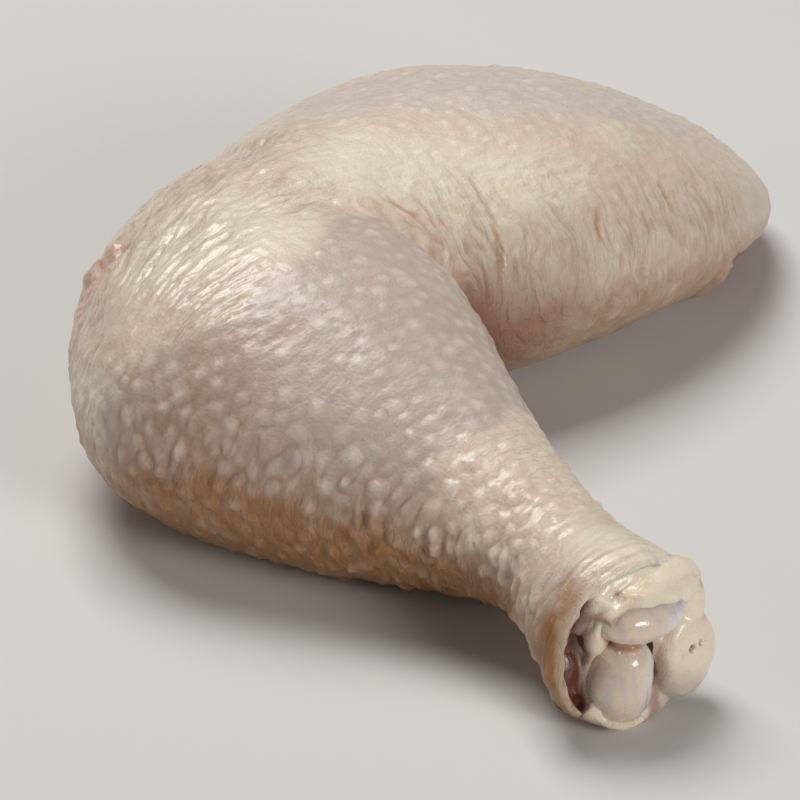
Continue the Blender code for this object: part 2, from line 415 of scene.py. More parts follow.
fat = smooth_step(fat + 0.15 * drifts + 0.05 * ripple, 0.20, 0.90) * (1 - muscle)
# A painted shade on the drumstick's lower left, where it turns away from the light
muscle_shade = cloud(spots, [
    (-0.0332, -0.0434, 0.0344, 0.0095), (-0.0410, -0.0410, 0.0290, 0.0080),
])
knee = patch(spots, [
    (-0.0420, -0.0107, 0.0450, 0.0130), (-0.0333, -0.0290, 0.0457, 0.0110),
    (-0.0520, -0.0060, 0.0360, 0.0140), (-0.0430, 0.0090, 0.0430, 0.0120),
    (-0.0320, 0.0220, 0.0450, 0.0110), (-0.0240, 0.0020, 0.0490, 0.0090),
], 0.5)
knee *= 1 - 0.8 * muscle
lower_side = smooth_step(round_drum, 0.65, 1.35) * smooth_step(down, 0.005, 0.020)
lower_side *= 1 - 0.6 * smooth_step(down, 0.080, 0.095)
flank = patch(spots, [
    (0.0060, 0.0060, 0.0330, 0.0120), (0.0085, 0.0072, 0.0240, 0.0130), (0.0200, 0.0140, 0.0250, 0.0140),
    (0.0330, 0.0280, 0.0230, 0.0140), (0.0450, 0.0440, 0.0180, 0.0120), (0.0150, 0.0040, 0.0120, 0.0120),
    (0.0060, 0.0120, 0.0390, 0.0090), (0.0180, 0.0240, 0.0360, 0.0060),
], 0.5)
shank = smooth_step(down, 0.036, 0.016) * smooth_step(out_drum, 0.030, 0.022)
knobbly = patch(spots, [
    (0.0020, -0.0590, 0.0230, 0.0090), (0.0110, -0.0630, 0.0240, 0.0080),
    (-0.0080, -0.0560, 0.0200, 0.0080), (0.0160, -0.0700, 0.0190, 0.0060),
], 0.6)
smooth_shank = patch(spots, [(0.0270, -0.0730, 0.0290, 0.0080), (0.0330, -0.0690, 0.0270, 0.0060)], 0.5)
drum_side = smooth_step(down, 0.062, 0.050) * (1 - 0.6 * muscle) * (1 - smooth_shank) * (1 - knobbly)
thigh_top = smooth_step(up_thigh, 0.010, 0.035) * smooth_step(np.abs(round_thigh), 1.2, 0.6)
clear = smooth_step(spots[:, 2], 0.0004, 0.0034)

# Goose bumps, broad and soft, nearly touching, and longer round the drumstick than along it
BUMP_SPACING = 0.0025
BUMP_RADIUS = 0.0019
BUMP_STRETCH = 1.25
BUMP_HEIGHT = 0.00025
BUMP_DRIFT = 0.0005
BUMP_SIZES = (0.62, 1.15)
BUMP_RISES = (0.15, 1.0)
drum_way = (KNEE - ANKLE) / np.linalg.norm(KNEE - ANKLE)
squeezed = (spots + (BUMP_STRETCH - 1) * np.outer(spots @ drum_way, drum_way)) / BUMP_STRETCH
squeezed += BUMP_DRIFT * np.column_stack([lumps(spots / 0.006, seed) for seed in (23, 24, 25)])
picked = scatter(squeezed, BUMP_SPACING, 21)
bump_tree = kdtree.KDTree(len(picked))
for order, index in enumerate(picked):
    bump_tree.insert(squeezed[index], order)
bump_tree.balance()
found = [bump_tree.find(spot) for spot in squeezed]
nearest = np.array([hit[1] for hit in found])
chance = np.random.default_rng(22)
bump_size = chance.uniform(*BUMP_SIZES, len(picked))[nearest]
bump_rise = chance.uniform(*BUMP_RISES, len(picked))[nearest]
from_top = np.array([hit[2] for hit in found]) / (BUMP_RADIUS * bump_size)
bumps = (1 - smooth_step(from_top, 0.0, 1.0)) * bump_rise
outer_thigh = smooth_step(round_thigh, 0.6, 1.3) * smooth_step(up_thigh, 0.000, 0.020)
bumpy = 0.90 + 0.25 * muscle + 1.7 * (lower_side + knobbly) - 0.20 * fat
bumpy += 0.45 * thigh_top + 0.7 * outer_thigh + 0.9 * drum_side
bumpy = np.clip(bumpy, 0.30, 3.0)
bumpy *= (1 - 0.7 * smooth_step(down, 0.024, 0.012)) * (1 - smooth_shank)

# Broad swellings, the skin's own fine grain and the goose bumps on it
swell = 0.00055 * lumps(spots / 0.015, 1) + 0.00022 * lumps(spots / 0.007, 2)
relief = (0.00010 + 0.00006 * fat) * lumps(spots / 0.0016, 3) * (1 - smooth_shank)
relief += BUMP_HEIGHT * bumps * bumpy

# Creases that run round the drumstick, low on its outer side and at the ankle
RING_SPACING = 0.0026
FINE_RING_SPACING = 0.0015
SOFT_RING_SPACING = 0.0011
WRINKLE_SPACING = 0.0010
rings = streaks(down + warp, drum_aside, drum_up, RING_SPACING, 0.0058, 31)
rings_fine = streaks(down + 0.8 * warp, drum_aside, drum_up, FINE_RING_SPACING, 0.0060, 32)
rings_soft = streaks(down + 0.5 * warp, drum_aside, drum_up, SOFT_RING_SPACING, 0.0040, 34)
relief += lower_side * (0.00024 * folded(rings) + 0.00026 * rings_fine)
relief += drum_side * (0.00010 * folded(rings) + 0.00014 * rings_fine)
relief += shank * (1 - 0.7 * smooth_shank) * (0.00024 * rings_fine + 0.00020 * rings)
relief += (0.00005 + 0.00005 * muscle) * rings_soft
relief += knobbly * (0.00036 * folded(rings) + 0.00028 * rings_fine)
cuff_wrinkles = streaks(out_of_cuff + 0.6 * warp, right_of_cuff, above_cuff, WRINKLE_SPACING, 0.0060, 35)
near_edge = smooth_step(out_of_cuff, -0.0150, -0.0060) * (1 - in_cuff)
relief += near_edge * 0.00016 * cuff_wrinkles

# Fine streaks over the knee, fanning out a little
FAN_POINT = np.array((-0.067, -0.048))
FAN_RADIUS = 0.052
KNEE_STREAK_SPACING = 0.00095
KNEE_FOLD_SPACING = 0.0024
from_fan = spots[:, :2] - FAN_POINT
fan_turn = np.arctan2(from_fan[:, 1], from_fan[:, 0]) * FAN_RADIUS
fan_reach = np.linalg.norm(from_fan, axis=1)
level = np.zeros(len(spots))
knee_streaks = streaks(fan_turn + 0.6 * warp, fan_reach, level, KNEE_STREAK_SPACING, 0.0052, 41)
knee_folds = streaks(fan_turn + warp, fan_reach, level, KNEE_FOLD_SPACING, 0.0130, 42)
relief += knee * (0.00032 * knee_streaks + 0.00026 * folded(knee_folds))

# Folds round the thigh's front side, from the bend down to the ground, and fine ones along its top
FOLD_SPACING = 0.0021
FINE_FOLD_SPACING = 0.0011
OUTER_FOLD_SPACING = 0.0045
THIGH_RADIUS = 0.024
fold_turn = up_thigh + 1.0 * warp + 0.12 * spots[:, 2]
folds = streaks(fold_turn + 0.8 * warp, spots[:, 2], level, FOLD_SPACING, 0.0085, 51)
folds_fine = streaks(fold_turn + 0.5 * warp, spots[:, 2], level, FINE_FOLD_SPACING, 0.0050, 52)
relief += flank * (0.00008 * folded(folds) + 0.00014 * folds_fine)
long_fine = streaks(round_thigh * THIGH_RADIUS + 0.8 * warp, up_thigh, level, 0.0010, 0.0070, 53)
relief += thigh_top * (0.00012 * long_fine + 0.00010 * lumps(spots / 0.0026, 54))
outer_folds = streaks(up_thigh + 2 * warp, spots[:, 2], level, OUTER_FOLD_SPACING, 0.0180, 56)
outer_fine = streaks(up_thigh + warp, spots[:, 2], level, 0.0014, 0.0080, 57)
relief += outer_thigh * (0.00020 * folded(outer_folds) + 0.00014 * outer_fine)

# The bend: a deep crease between drumstick and thigh, and smaller ones that run into it
BEND = [
    (-0.0110, 0.0035, 0.0470), (-0.0067, 0.0020, 0.0440), (-0.0015, 0.0020, 0.0400),
    (0.0029, 0.0020, 0.0350), (0.0058, 0.0020, 0.0280), (0.0062, 0.0020, 0.0200), (0.0034, 0.0025, 0.0120),
    (-0.0047, 0.0025, 0.0040),
]
BEND_DEPTH = 0.0020
BEND_WIDTH = 0.0036
CREASE_DEPTH = 0.00030
CREASE_WIDTH = 0.0010
bend_far, bend_way = near_line(spots + 0.6 * warp[:, None], BEND)
bend_depth = smooth_step(bend_way, 0.0, 0.35)
swell -= BEND_DEPTH * bend_depth * (1 - smooth_step(bend_far, 0, BEND_WIDTH))
bend_near = (1 - smooth_step(bend_far, 0.0025, 0.0090)) * smooth_step(spots[:, 2], 0.020, 0.034)
bend_lines = streaks(bend_far + warp, bend_way * 0.05, level, 0.0009, 0.0050, 55)
relief += bend_near * 0.00018 * bend_lines
creases = np.zeros(len(spots))
for path in (
    ((-0.0095, 0.0072, 0.0470), (-0.0035, 0.0067, 0.0425), (0.0020, 0.0045, 0.0365)),
    ((-0.0060, 0.0110, 0.0465), (0.0000, 0.0090, 0.0410), (0.0050, 0.0066, 0.0335),
     (0.0075, 0.0060, 0.0260)),
    ((0.0030, 0.0140, 0.0425), (0.0060, 0.0093, 0.0355), (0.0088, 0.0070, 0.0280), (0.0090, 0.0060, 0.0200)),
    ((0.0100, 0.0150, 0.0395), (0.0108, 0.0100, 0.0325), (0.0105, 0.0078, 0.0235)),
    ((0.0150, 0.0165, 0.0370), (0.0140, 0.0115, 0.0295), (0.0125, 0.0093, 0.0215)),
    ((0.0277, 0.0250, 0.0347), (0.0277, 0.0226, 0.0327), (0.0291, 0.0216, 0.0295)),
    ((0.0380, 0.0385, 0.0330), (0.0396, 0.0365, 0.0310), (0.0415, 0.0350, 0.0280)),
):
    creases = np.maximum(creases, crease(spots + 0.7 * warp[:, None], path, CREASE_WIDTH))
relief -= CREASE_DEPTH * creases

# A small loose pleat at the knee's left edge, and the dip behind the knee
PLEAT_HEIGHT = 0.0012
PLEAT_WIDTH = 0.0022
DIP_DEPTH = 0.0013
DIP_WIDTH = 0.0050
pleat_far, pleat_way = near_line(spots, [
    (-0.0590, -0.0015, 0.0310), (-0.0563, -0.0009, 0.0365), (-0.0541, -0.0003, 0.0391),
    (-0.0515, 0.0005, 0.0415),
])
pleat_ends = smooth_step(pleat_way, 0.0, 0.2) * smooth_step(pleat_way, 1.0, 0.8)
swell += PLEAT_HEIGHT * pleat_ends * (1 - smooth_step(pleat_far, 0, PLEAT_WIDTH))
pleat_fold = crease(spots, [
    (-0.0560, -0.0052, 0.0330), (-0.0545, -0.0040, 0.0375), (-0.0522, -0.0030, 0.0405),
    (-0.0495, -0.0020, 0.0430),
], 0.0016)
swell -= 0.0007 * pleat_fold
pleat_patch = patch(spots, [(-0.0580, -0.0040, 0.0330, 0.0050), (-0.0550, -0.0005, 0.0390, 0.0045)], 0.6)
relief += pleat_patch * 0.00042 * lumps(spots / 0.0017, 58)
knee_fold = crease(spots + 0.4 * warp[:, None], [
    (-0.0430, -0.0360, 0.0380), (-0.0384, -0.0364, 0.0401), (-0.0327, -0.0360, 0.0422),
    (-0.0235, -0.0355, 0.0438), (-0.0180, -0.0350, 0.0440),
], 0.0040)
swell -= 0.0003 * knee_fold
dip = crease(spots, [
    (-0.0370, 0.0350, 0.0380), (-0.0357, 0.0291, 0.0435), (-0.0320, 0.0229, 0.0472),
    (-0.0280, 0.0150, 0.0490),
], DIP_WIDTH)
swell -= DIP_DEPTH * dip

height = (swell + relief) * clear * (1 - in_cuff)
height += 0.00010 * lip
spots = spots + normals * height[:, None]
spots[:, 2] = np.maximum(spots[:, 2], solid_low.z)
move_to(skin, spots)

# What the material reads: where the skin is reddened, yellow, wet or lined, and where shade, dark and
# browned, is painted into its colour: underneath, in creases and folds, at the bend and in the cuff's hollow
# Painted shade, dark reddish brown, deep in the bend between drumstick and thigh, and a wider one low round
# it
crotch_shade = (1 - smooth_step(bend_far, 0.001, 0.012)) * smooth_step(spots[:, 2], 0.034, 0.020)
near_crotch_shade = 1 - smooth_step(bend_far, 0.006, 0.033)
near_crotch_shade *= smooth_step(spots[:, 2] + 0.002 * drifts, 0.039, 0.018)
# Painted shade in the grooves: between folds and rings, between goose bumps, in the knee's streaks and in
# the cuff's wrinkles
crease_shade = flank * (0.45 * smooth_step(np.abs(folds), 0.20, 0.0) + 0.45 * smooth_step(folds_fine, 0.0, -0.5))
crease_shade += lower_side * (smooth_step(np.abs(rings), 0.25, 0.0) + 0.5 * smooth_step(rings_fine, 0.0, -0.5))
crease_shade += 0.5 * outer_thigh * smooth_step(np.abs(outer_folds), 0.20, 0.0)
crease_shade += (0.5 * knobbly + 0.35 * lower_side) * smooth_step(bumps, 0.25, 0.0)
crease_shade += 0.6 * knee * smooth_step(knee_streaks, 0.0, -0.6)
crease_shade += 0.6 * near_edge * smooth_step(cuff_wrinkles, 0.0, -0.6)
# Painted shade on the outside of the cuff, low on its left
cuff_left_shade = smooth_step(out_of_cuff, -0.0170, -0.0050) * (1 - in_cuff)
cuff_left_shade *= np.maximum(0, np.cos(cuff_angle - CUFF_SHADE_TURN))
upper_muscle = patch(spots, [(-0.0090, -0.0100, 0.0450, 0.0110)], 0.6)
tan = patch(spots, [(0.0250, 0.0330, 0.0370, 0.0120), (0.0360, 0.0420, 0.0340, 0.0110)], 0.7)
note(skin, "muscle", muscle * (1 - 0.2 * upper_muscle))
note(skin, "thigh_muscle", thigh_muscle)
note(skin, "fat", fat)
note(skin, "muscle_shade", np.clip(muscle_shade, 0, 1))
note(skin, "tan", tan)
# Paler goose-bump tops: partly their own paler colour, partly a painted highlight on them
bump_pale_and_lit = np.clip(0.55 + 0.30 * muscle + 0.25 * drum_side - 0.4 * knobbly, 0, 1)
note(skin, "bumps", bumps**0.8 * bump_pale_and_lit)
# Painted shade and a painted warm reflection from below on the skin's underside: darker and browner where it
# faces down, more so at the front, less on the far left, up the thigh and on the shank
underside_shade = smooth_step(normals[:, 2] + 0.14 * drifts, 0.32, -0.22)
underside_shade *= 0.35 + 0.65 * smooth_step(normals[:, 1], 0.2, -0.4)
underside_shade *= 1 - 0.85 * patch(spots, [(-0.0560, -0.0320, 0.0275, 0.0105)], 0.6)
underside_shade *= (1 - 0.5 * smooth_step(up_thigh, 0.020, 0.045)) * (1 - 0.55 * smooth_step(down, 0.032, 0.018))
# The painted shade of the underside and of the cuff's left side, made uneven
underside_and_cuff_shade = (underside_shade + 1.4 * cuff_left_shade) * (1 + 0.30 * ripple)
note(skin, "underside_shade", np.clip(underside_and_cuff_shade, 0, 1))
note(skin, "ringed", np.clip(underside_shade + 0.45 * drum_side, 0, 1))
note(skin, "pleat", pleat_patch)
note(skin, "crease_shade", np.clip(crease_shade, 0, 1))
# Reddish brown in the creases, the pleat's and the knee's folds and the lines at the bend: partly the skin's
# own redder tone in its folds, partly painted shade in them
crease_tint_and_shade = creases + 0.8 * pleat_fold + 0.25 * knee_fold + 0.6 * bend_near * smooth_step(bend_lines, 0.1, -0.5)
note(skin, "crease_tint_and_shade", np.clip(crease_tint_and_shade, 0, 1) * (0.65 + 0.35 * ripple))
note(skin, "crotch_shade", np.clip(crotch_shade * bend_depth, 0, 1))
note(skin, "near_crotch_shade", near_crotch_shade * bend_depth)
wet = 0.32 - 0.14 * underside_shade + 0.28 * knee - 0.08 * muscle - 0.16 * flank + 0.5 * in_cuff + 0.10 * shank
note(skin, "wet", np.clip(wet, 0.12, 1))
# Painted shade inside the cuff's hollow, darker deeper in and on its free left side, partly the skin's own
# red-brown inner side
hollow_shade = in_cuff * smooth_step(out_of_cuff, -0.0008, -0.0032)
note(skin, "in_cuff", hollow_shade * (0.30 + 0.70 * left_share))
note(skin, "lip", lip * (1 - in_cuff) * (1 - 0.6 * left_share))
note_place(skin, "rings_place", np.column_stack((down, drum_aside / 3.5, drum_up / 3.5)))
note_place(skin, "fan_place", np.column_stack((fan_turn, fan_reach / 4, level)))
note_place(skin, "flank_place", np.column_stack((fold_turn, spots[:, 2] / 4.5, level)))
note(skin, "knee", knee)
note(skin, "flank", flank)
thin_out(skin, SKIN_TRIANGLES)


def value_of(material, name):
    """Reads one of the values that were kept for each point."""
    reader = material.node_tree.nodes.new("ShaderNodeAttribute")
    reader.attribute_name = name
    return reader.outputs["Fac"]


def place_of(material, name):
    """Reads one of the places that were kept for each point."""
    reader = material.node_tree.nodes.new("ShaderNodeAttribute")
    reader.attribute_name = name
    return reader.outputs["Vector"]


def connect(material, socket, value):
    """Links a socket to another one, or sets it to a number or colour."""
    if isinstance(value, bpy.types.NodeSocket):
        material.node_tree.links.new(value, socket)
    else:
        socket.default_value = (*value, 1) if isinstance(value, tuple) else value


def blend(material, share, first, second):
    """Mixes a colour, or another blend, with a second one by a share."""
    mix = material.node_tree.nodes.new("ShaderNodeMix")
    mix.data_type = "RGBA"
    for socket, value in ((mix.inputs[0], share), (mix.inputs[6], first), (mix.inputs[7], second)):
        connect(material, socket, value)
    return mix.outputs[2]


def reckon(material, operation, *values):
    """One step of arithmetic on numbers in a material."""
    step = material.node_tree.nodes.new("ShaderNodeMath")
    step.operation = operation
    for socket, value in zip(step.inputs, values):
        connect(material, socket, value)
    return step.outputs["Value"]


def tint(material, tone, name, colour, share=1.0):
    """Blends a colour into a tone where the value of this name says, and never by more than the share."""
    amount = value_of(material, name)
    if share < 1:
        amount = reckon(material, "MULTIPLY", amount, share)
    return blend(material, amount, tone, colour)


def fine_lines(material, grain):
    """Thin lines where a grain passes through its middle value, 1 on the line."""
    away = reckon(material, "ABSOLUTE", reckon(material, "SUBTRACT", grain, 0.5))
    return reckon(material, "MAXIMUM", reckon(material, "MULTIPLY_ADD", away, -11.0, 1.0), 0.0)


def cloudy_group():
    """Soft cloudy patches and fine grain, each of a given scale, for flesh, fat, skin and cartilage."""
    group = bpy.data.node_groups.new("cloudy", "ShaderNodeTree")
    group.interface.new_socket("Place", in_out="INPUT", socket_type="NodeSocketVector")
    for name, start in (("Patch Scale", 120.0), ("Grain Scale", 1400.0)):
        group.interface.new_socket(name, in_out="INPUT", socket_type="NodeSocketFloat").default_value = start
    for name in ("Patches", "Grain"):
        group.interface.new_socket(name, in_out="OUTPUT", socket_type="NodeSocketFloat")
    entry = group.nodes.new("NodeGroupInput")
    leaving = group.nodes.new("NodeGroupOutput")
    for scale, detail, target in (("Patch Scale", 3.0, "Patches"), ("Grain Scale", 2.0, "Grain")):
        noise = group.nodes.new("ShaderNodeTexNoise")
        noise.inputs["Detail"].default_value = detail
        spread = group.nodes.new("ShaderNodeMapRange")
        spread.inputs["From Min"].default_value = 0.30
        spread.inputs["From Max"].default_value = 0.70
        group.links.new(entry.outputs["Place"], noise.inputs["Vector"])
        group.links.new(entry.outputs[scale], noise.inputs["Scale"])
        group.links.new(noise.outputs["Fac"], spread.inputs["Value"])
        group.links.new(spread.outputs["Result"], leaving.inputs[target])
    return group


cloudy = cloudy_group()


def clouds(material, patch_scale, grain_scale, place=None):
    """Places the cloudy group in a material: its patches and its grain."""
    tree = material.node_tree
    node = tree.nodes.new("ShaderNodeGroup")
    node.node_tree = cloudy
    node.inputs["Patch Scale"].default_value = patch_scale
    node.inputs["Grain Scale"].default_value = grain_scale
    if place is None:
        place = tree.nodes.new("ShaderNodeTexCoord").outputs["Object"]
    tree.links.new(place, node.inputs["Place"])
    return node.outputs["Patches"], node.outputs["Grain"]


def wet_material(name, roughness, coat, coat_roughness, scatter_share):
    """A moist material that light sinks into a little, with a wet film on top."""
    material = bpy.data.materials.new(name)
    material.use_nodes = True
    shader = material.node_tree.nodes["Principled BSDF"]
    shader.inputs["Roughness"].default_value = roughness
    shader.inputs["Coat Weight"].default_value = coat
    shader.inputs["Coat Roughness"].default_value = coat_roughness
    shader.inputs["Subsurface Weight"].default_value = scatter_share
    shader.inputs["Subsurface Radius"].default_value = (1.0, 0.45, 0.25)
    shader.inputs["Subsurface Scale"].default_value = 0.0016
    return material, shader


def bump(material, height, depth):
    """Raises fine detail on a material by up to the depth."""
    raised = material.node_tree.nodes.new("ShaderNodeBump")
    raised.inputs["Distance"].default_value = depth
    material.node_tree.links.new(height, raised.inputs["Height"])
    return raised.outputs["Normal"]


BASE_TONE = (0.735, 0.62, 0.50)
MUSCLE_TONE = (0.495, 0.410, 0.365)
THIGH_MUSCLE_TONE = (0.68, 0.61, 0.56)
FAT_TONE = (0.835, 0.77, 0.605)
PALE_LIT_BUMP_TONE = (0.75, 0.68, 0.59)
UNDERSIDE_SHADE_TONE = (0.295, 0.120, 0.022)
MUSCLE_SHADE_TONE = (0.38, 0.23, 0.18)
CREASE_SHADE_TONE = (0.36, 0.21, 0.115)
CREASE_TINT_AND_SHADE_TONE = (0.46, 0.22, 0.10)
NEAR_CROTCH_SHADE_TONE = (0.29, 0.14, 0.08)
PLEAT_TONE = (0.66, 0.40, 0.32)
CROTCH_SHADE_TONE = (0.22, 0.075, 0.05)
CUFF_HOLLOW_SHADE_TONE = (0.30, 0.12, 0.05)
PATCH_TONE = (0.62, 0.47, 0.37)
FLECK_TONE = (0.60, 0.43, 0.31)
LIP_TONE = (0.78, 0.67, 0.55)
PATCH_SHARE = 0.22
TAN_SHARE = 0.26
FLECK_SHARE = 0.25
LINE_SHARE = 0.55
SKIN_FINE_DEPTH = 0.00024

wet_skin, shader = wet_material(
    "wet_skin", roughness=0.42, coat=0.60, coat_roughness=0.19, scatter_share=0.30)
patches, grain = clouds(wet_skin, patch_scale=160, grain_scale=1500)
tone = tint(wet_skin, BASE_TONE, "muscle", MUSCLE_TONE)
# Painted shade low on the muscle's left
tone = tint(wet_skin, tone, "muscle_shade", MUSCLE_SHADE_TONE, 0.45)
tone = tint(wet_skin, tone, "thigh_muscle", THIGH_MUSCLE_TONE)
tone = tint(wet_skin, tone, "fat", FAT_TONE)
patch_share = reckon(wet_skin, "MULTIPLY", patches, PATCH_SHARE)
patch_share = reckon(wet_skin, "MULTIPLY_ADD", value_of(wet_skin, "tan"), TAN_SHARE, patch_share)
tone = blend(wet_skin, patch_share, tone, PATCH_TONE)
flecks = clouds(wet_skin, patch_scale=520, grain_scale=1500)[0]
tone = blend(wet_skin, reckon(wet_skin, "MULTIPLY", flecks, FLECK_SHARE), tone, FLECK_TONE)
# Painted shade, browned, on the underside and on the cuff's left side
tone = tint(wet_skin, tone, "underside_shade", UNDERSIDE_SHADE_TONE)
# Paler bump tops, partly painted highlight, fewer where the underside's shade is painted
bump_share = reckon(wet_skin, "MULTIPLY_ADD", value_of(wet_skin, "underside_shade"), -0.50, 0.70)
bump_share = reckon(wet_skin, "MULTIPLY", value_of(wet_skin, "bumps"), bump_share)
tone = blend(wet_skin, bump_share, tone, PALE_LIT_BUMP_TONE)
# Painted shade in the grooves and between the bumps
tone = tint(wet_skin, tone, "crease_shade", CREASE_SHADE_TONE, 0.60)
ring_grain = clouds(wet_skin, 300, 900, place_of(wet_skin, "rings_place"))[1]
fan_grain = clouds(wet_skin, 300, 1000, place_of(wet_skin, "fan_place"))[1]
flank_grain = clouds(wet_skin, 300, 1000, place_of(wet_skin, "flank_place"))[1]
ring_share = reckon(wet_skin, "MULTIPLY_ADD", value_of(wet_skin, "ringed"), 0.60, 0.07)
lines = reckon(wet_skin, "MULTIPLY", fine_lines(wet_skin, ring_grain), ring_share)
fan_lines = reckon(wet_skin, "MULTIPLY", fine_lines(wet_skin, fan_grain), value_of(wet_skin, "knee"))
lines = reckon(wet_skin, "MULTIPLY_ADD", fan_lines, 0.30, lines)
flank_lines = reckon(wet_skin, "MULTIPLY", fine_lines(wet_skin, flank_grain), value_of(wet_skin, "flank"))
lines = reckon(wet_skin, "MULTIPLY_ADD", flank_lines, 0.22, lines)
# Painted shade in the fine wrinkle lines, which the bump below sinks too
tone = blend(wet_skin, reckon(wet_skin, "MULTIPLY", lines, LINE_SHARE), tone, CREASE_SHADE_TONE)
# Reddish brown in the folds: partly their own tone, partly painted shade
tone = tint(wet_skin, tone, "crease_tint_and_shade", CREASE_TINT_AND_SHADE_TONE)
# Painted shade round the bend, low down
tone = tint(wet_skin, tone, "near_crotch_shade", NEAR_CROTCH_SHADE_TONE, 0.88)
tone = tint(wet_skin, tone, "pleat", PLEAT_TONE, 0.6)
# Painted shade deep in the bend
tone = tint(wet_skin, tone, "crotch_shade", CROTCH_SHADE_TONE)
tone = tint(wet_skin, tone, "lip", LIP_TONE)
# Painted shade inside the cuff
tone = tint(wet_skin, tone, "in_cuff", CUFF_HOLLOW_SHADE_TONE)
connect(wet_skin, shader.inputs["Base Color"], tone)
fine = reckon(wet_skin, "MULTIPLY", fan_grain, value_of(wet_skin, "knee"))
fine = reckon(wet_skin, "ADD", fine, reckon(wet_skin, "MULTIPLY", flank_grain, value_of(wet_skin, "flank")))
fine = reckon(wet_skin, "MULTIPLY_ADD", ring_grain, 0.4, fine)
fine = reckon(wet_skin, "MULTIPLY_ADD", grain, 0.3, fine)
fine = reckon(wet_skin, "MULTIPLY_ADD", lines, -0.7, fine)
connect(wet_skin, shader.inputs["Normal"], bump(wet_skin, fine, SKIN_FINE_DEPTH))
connect(wet_skin, shader.inputs["Coat Weight"], value_of(wet_skin, "wet"))
gloss = reckon(wet_skin, "MULTIPLY_ADD", patches, 0.16, 0.36)
connect(wet_skin, shader.inputs["Roughness"], gloss)
finish_piece(skin, wet_skin, "leg")


# Ankle tissue. Cream fat and tendon fill the cuff round the joint: a hood over it, a cheek on its right and
# a thin pale sheath round its left and lower edge. It is grown from the ankle's solid, one soft mass.
TISSUE_GRAIN = 0.00026
TISSUE_TRIANGLES = 90000
LOWER_CONDYLE = ((-0.0013, -0.0038, -0.0055), (0.0056, 0.0050, 0.0065))
UPPER_CONDYLE = ((-0.0009, 0.0004, 0.0061), (0.0059, 0.0083, 0.0042))
CONDYLE_MIDDLE = ((-0.0012, -0.0035, -0.0038), (0.0054, 0.0049, 0.0056))
CONDYLE_NECK = ((-0.0011, -0.0031, -0.0018), (0.0050, 0.0047, 0.0047))
LEFT_HOLLOW = ((-0.0006, -0.0106, 0.0008), (0.0064, 0.0048, 0.0088))
CHEEK = ((0.0002, 0.0088, -0.0042), (0.0045, 0.0063, 0.0080))
HOOD = ((-0.0008, 0.0038, 0.0102), (0.0032, 0.0084, 0.0032))
CHEEK_TOP = ((-0.0008, 0.0100, 0.0037), (0.0035, 0.0034, 0.0074))
HOOD_END = ((-0.0040, -0.0066, 0.0036), (0.0022, 0.0030, 0.0036))
HOLLOW_FLOOR = ((-0.0071, -0.0094, -0.0050), (0.0021, 0.0036, 0.0056))
KNOB_RADII = (0.0013, 0.0013, 0.0017)
KNOB_TURN = math.radians(222)
COLLAR_RADIUS = 0.0026
SHEATH_RADIUS = 0.00090
TENDON_RADIUS = 0.0011
HOOD_RIM_RADIUS = 0.0010
CHEEK_FACE = 0.0026
PIT_DEPTH = 0.0008
ANKLE_TURN = math.atan2(ANKLE_OUT[1], ANKLE_OUT[0])


def at_ankle(out, right, up):
    """A place given outwards, to the right and up from the middle of the ankle's cut end."""
    return ANKLE + out * ANKLE_OUT + right * ANKLE_RIGHT + np.array((0, 0, up))


def ball(place, radii):
    """A smooth egg at a place, turned with the ankle: its half lengths go outwards, sideways and up."""
    bpy.ops.mesh.primitive_uv_sphere_add(
        segments=48, ring_count=24, radius=1, location=place, rotation=(0, 0, ANKLE_TURN), scale=radii)
    return bpy.context.object


def egg(middle, radii):
    """A smooth egg whose middle is given from the ankle's cut end."""
    return ball(at_ankle(*middle), radii)


def seen_edge(form, turn, margin, lift):
    """A place beside an egg's outline as the camera sees it, a margin outside it and lifted a little."""
    middle, radii = form
    eye = np.array(towards_eye)
    way = math.cos(turn) * np.array((1, 0, 0)) + math.sin(turn) * np.cross(eye, (1, 0, 0))
    shares = np.array((way @ ANKLE_OUT, way @ ANKLE_RIGHT, way[2]))
    lifts = np.array((eye @ ANKLE_OUT, eye @ ANKLE_RIGHT, eye[2])) * lift
    reach = np.array(radii) ** 2 * shares / np.linalg.norm(np.array(radii) * shares)
    return at_ankle(*(np.array(middle) + reach + margin * shares + lifts))


def behind_edge(turn, inside, behind):
    """A place inside and behind the cuff's edge, at an angle round it from the top to the right."""
    back = free_share(turn) * CUFF_DRAWN_BACK + behind
    far = CUFF_EDGE - inside
    return at_ankle(-back, far * math.sin(turn), far * math.cos(turn))


def strand(points, radius, thinning=0.5):
    """A round strand along a smooth line through the points, thinner at its ends."""
    line = bpy.data.curves.new("strand", "CURVE")
    line.dimensions = "3D"
    line.bevel_depth = radius
    line.bevel_resolution = 4
    line.resolution_u = 6
    line.use_fill_caps = True
    run = line.splines.new("NURBS")
    run.points.add(len(points) - 1)
    run.order_u = 4
    run.use_endpoint_u = True
    for order, (point, place) in enumerate(zip(run.points, points)):
        point.co = (*place, 1)
        point.radius = 1 - thinning * abs(2 * order / (len(points) - 1) - 1) ** 3
    made = bpy.data.objects.new("strand", line)
    bpy.context.scene.collection.objects.link(made)
    take_up(made)
    bpy.ops.object.convert(target="MESH")
    return bpy.context.object


def carve(made, cutter):
    """Cuts a form out of a piece and removes the cutter."""
    cut = made.modifiers.new("cut", "BOOLEAN")
    cut.operation = "DIFFERENCE"
    cut.object = cutter
    apply_all(made)
    bpy.data.objects.remove(cutter)


def grow(made, others, grain, rounds):
    """Joins soft forms onto a piece and meshes them again as one smooth body."""
    take_up(made)
    for other in others:
        other.select_set(True)
    bpy.ops.object.join()
    even_out(made, grain)
    melt(made, rounds)


